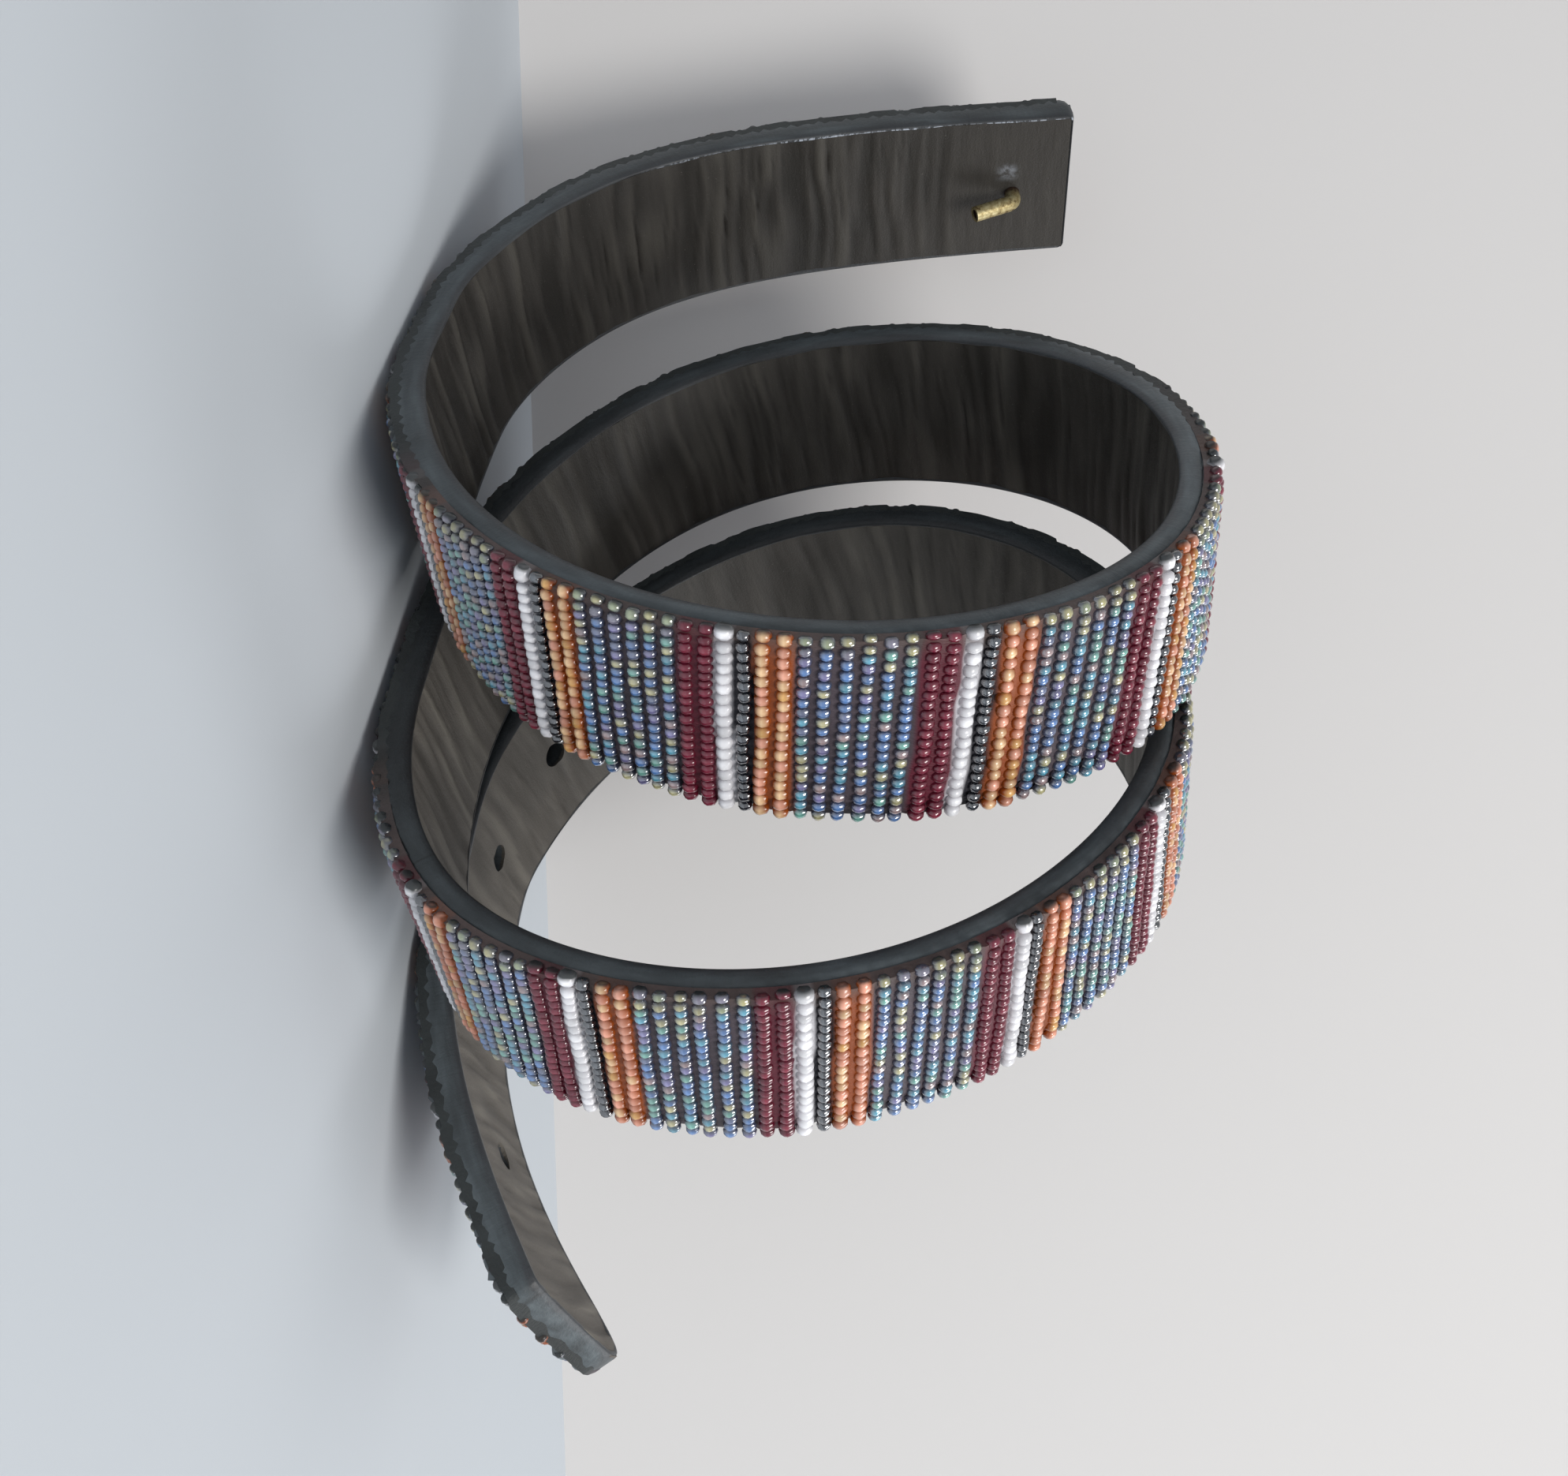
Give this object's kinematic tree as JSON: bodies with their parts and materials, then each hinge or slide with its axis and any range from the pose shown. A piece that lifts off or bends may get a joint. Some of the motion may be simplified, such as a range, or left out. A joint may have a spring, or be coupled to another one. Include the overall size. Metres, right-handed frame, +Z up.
{
  "type": "beaded belt",
  "caption": "Leather belt covered with rows of seed beads, pointed tail with holes and a bent brass hook, lying on its side in a loose coil.",
  "frame": {"origin": "middle of the bounding box in plan, on the ground that the coil lies on", "axes": "+Z up from that ground, +X along the coil's axis towards the pointed tail, -Y the side with the tail's tip, nearest the camera"},
  "size_m": [0.1187, 0.1824, 0.1191],
  "materials": {
    "strap_leather": "smooth satin, blue-grey",
    "lining_leather": "matte, wrinkled across",
    "seed_beads": "small glass beads in columns: dark red, white, gunmetal, amber, iridescent",
    "brass": "tarnished"
  },
  "bodies": {
    "root": {"leather_strap": "strap_leather", "inner_lining": "lining_leather", "bead_rows": "seed_beads", "closure_hook": "brass"}
  },
  "joints": []
}
